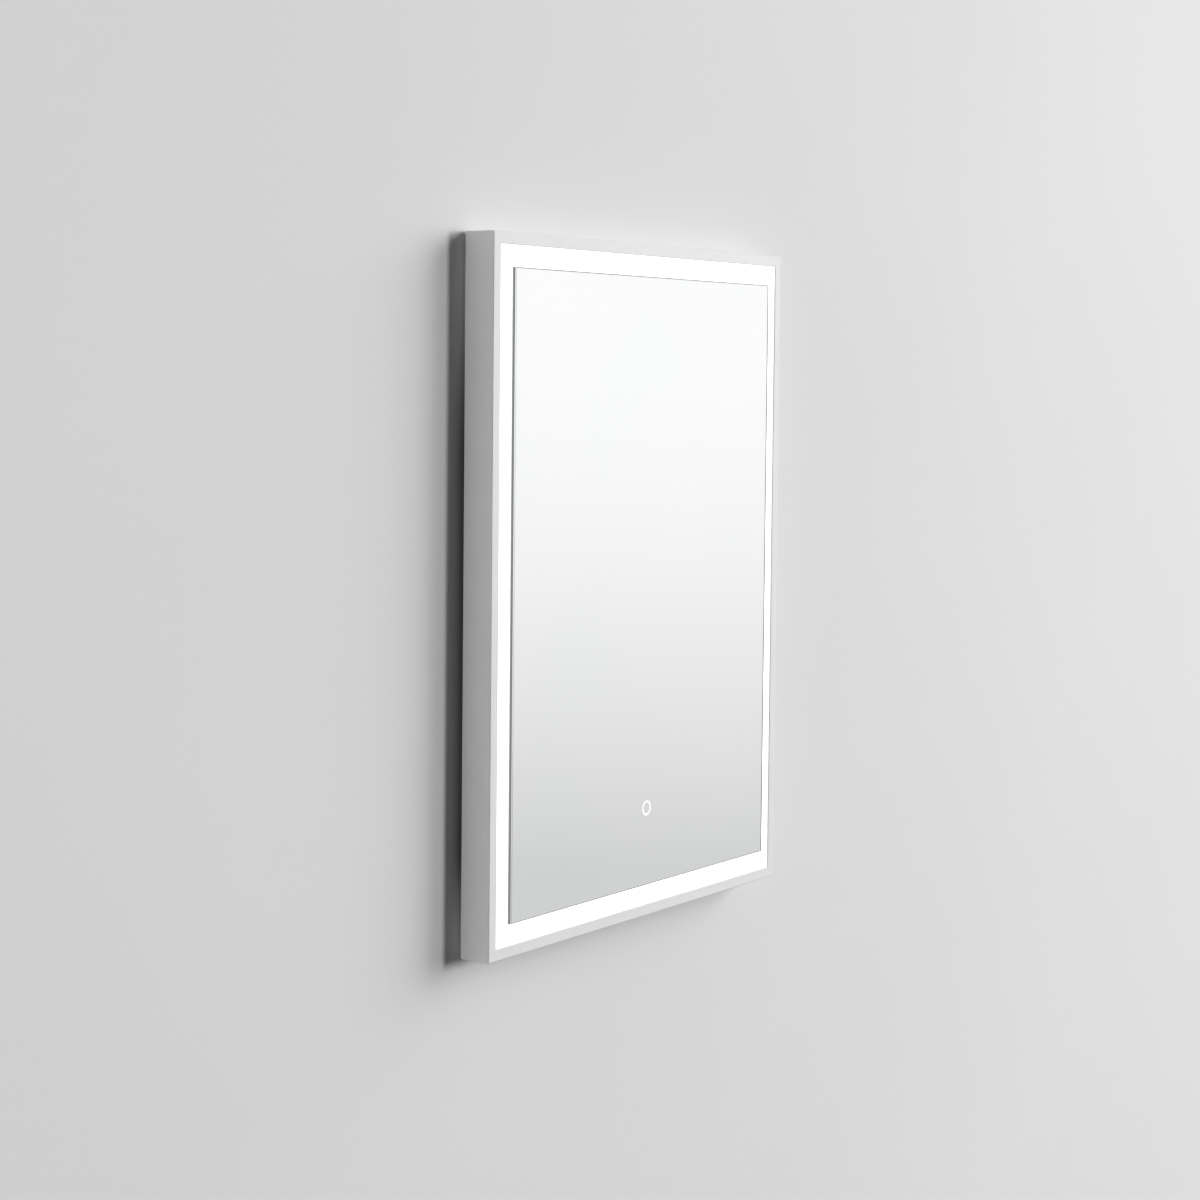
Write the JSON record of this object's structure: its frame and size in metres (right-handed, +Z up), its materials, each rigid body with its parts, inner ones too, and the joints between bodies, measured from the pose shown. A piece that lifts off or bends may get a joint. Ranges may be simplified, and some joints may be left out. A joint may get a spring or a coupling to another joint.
{
  "type": "lighted bathroom mirror",
  "caption": "Upright wall mirror with a slim white metal frame, a glowing opal band round a raised glass, and a lit ring touch switch low in the middle.",
  "frame": {"origin": "middle of the wall rail's two screw slots, on the wall's face", "axes": "+Z up along the long side, +Y into the wall (the glass faces -Y), +X to the right seen from the front"},
  "size_m": [0.6, 0.0448, 0.8],
  "materials": {
    "frame_coat": "satin white powder coat over an aluminium extrusion",
    "cast_key": "bare die cast",
    "opal": "opal acrylic, lit from behind",
    "white_board": "foamed sheet, matt white",
    "foam_tape": "closed-cell bonding tape",
    "mirror_front": "polished silvered glass with ground edges",
    "silvering": "silver coat under grey backing paint",
    "opal_ring": "opal light guide, lit",
    "strip_board": "white circuit strip",
    "light_chip": "phosphor under clear resin",
    "solder": "soldered tin",
    "white_steel": "matt white stove enamel",
    "zinc_steel": "hot-dip galvanised sheet",
    "bright_screw": "zinc plated",
    "black_rubber": "moulded, matt",
    "white_plastic": "moulded, fine matt",
    "driver_plastic": "moulded, fine matt",
    "dark_plastic": "moulded, matt",
    "circuit_board": "glass-fibre board with solder resist",
    "white_lead": "soft sheath, matt"
  },
  "bodies": {
    "wall": {"wall_rail": "zinc_steel"},
    "mirror": {"frame_bottom": "frame_coat", "frame_left": "frame_coat", "frame_top": "frame_coat", "frame_right": "frame_coat", "corner_keys": "cast_key", "corner_plates": "cast_key", "light_sheet": "opal", "mounting_board": "white_board", "bonding_strips": "foam_tape", "mirror_glass": "mirror_front", "mirror_silvering": "silvering", "touch_case": "white_plastic", "touch_board": "circuit_board", "touch_light_ring": "opal_ring", "strip_bottom": "strip_board", "strip_left": "strip_board", "strip_top": "strip_board", "strip_right": "strip_board", "chips_bottom": "light_chip", "chips_left": "light_chip", "chips_top": "light_chip", "chips_right": "light_chip", "strip_links": "solder", "reflector_bottom": "white_steel", "reflector_left": "white_steel", "reflector_top": "white_steel", "reflector_right": "white_steel", "back_panel": "zinc_steel", "back_panel_screws": "bright_screw", "wall_bumpers": "black_rubber", "hanger": "zinc_steel", "connection_box": "white_plastic", "connection_cover": "zinc_steel", "cover_screws": "bright_screw", "cable_grommet": "black_rubber", "terminal_block": "white_plastic", "driver_tape": "foam_tape", "driver_base": "driver_plastic", "driver_cover": "driver_plastic", "driver_board": "circuit_board", "driver_standoffs": "driver_plastic", "driver_components": "dark_plastic", "mains_lead": "white_lead", "strip_lead": "white_lead", "touch_lead": "white_lead", "lead_clips": "white_plastic"}
  },
  "joints": [
    {"name": "lift_off", "type": "slide", "parent": "wall", "child": "mirror", "axis": [0, 0, 1], "range_m": [0, 0.012]}
  ]
}
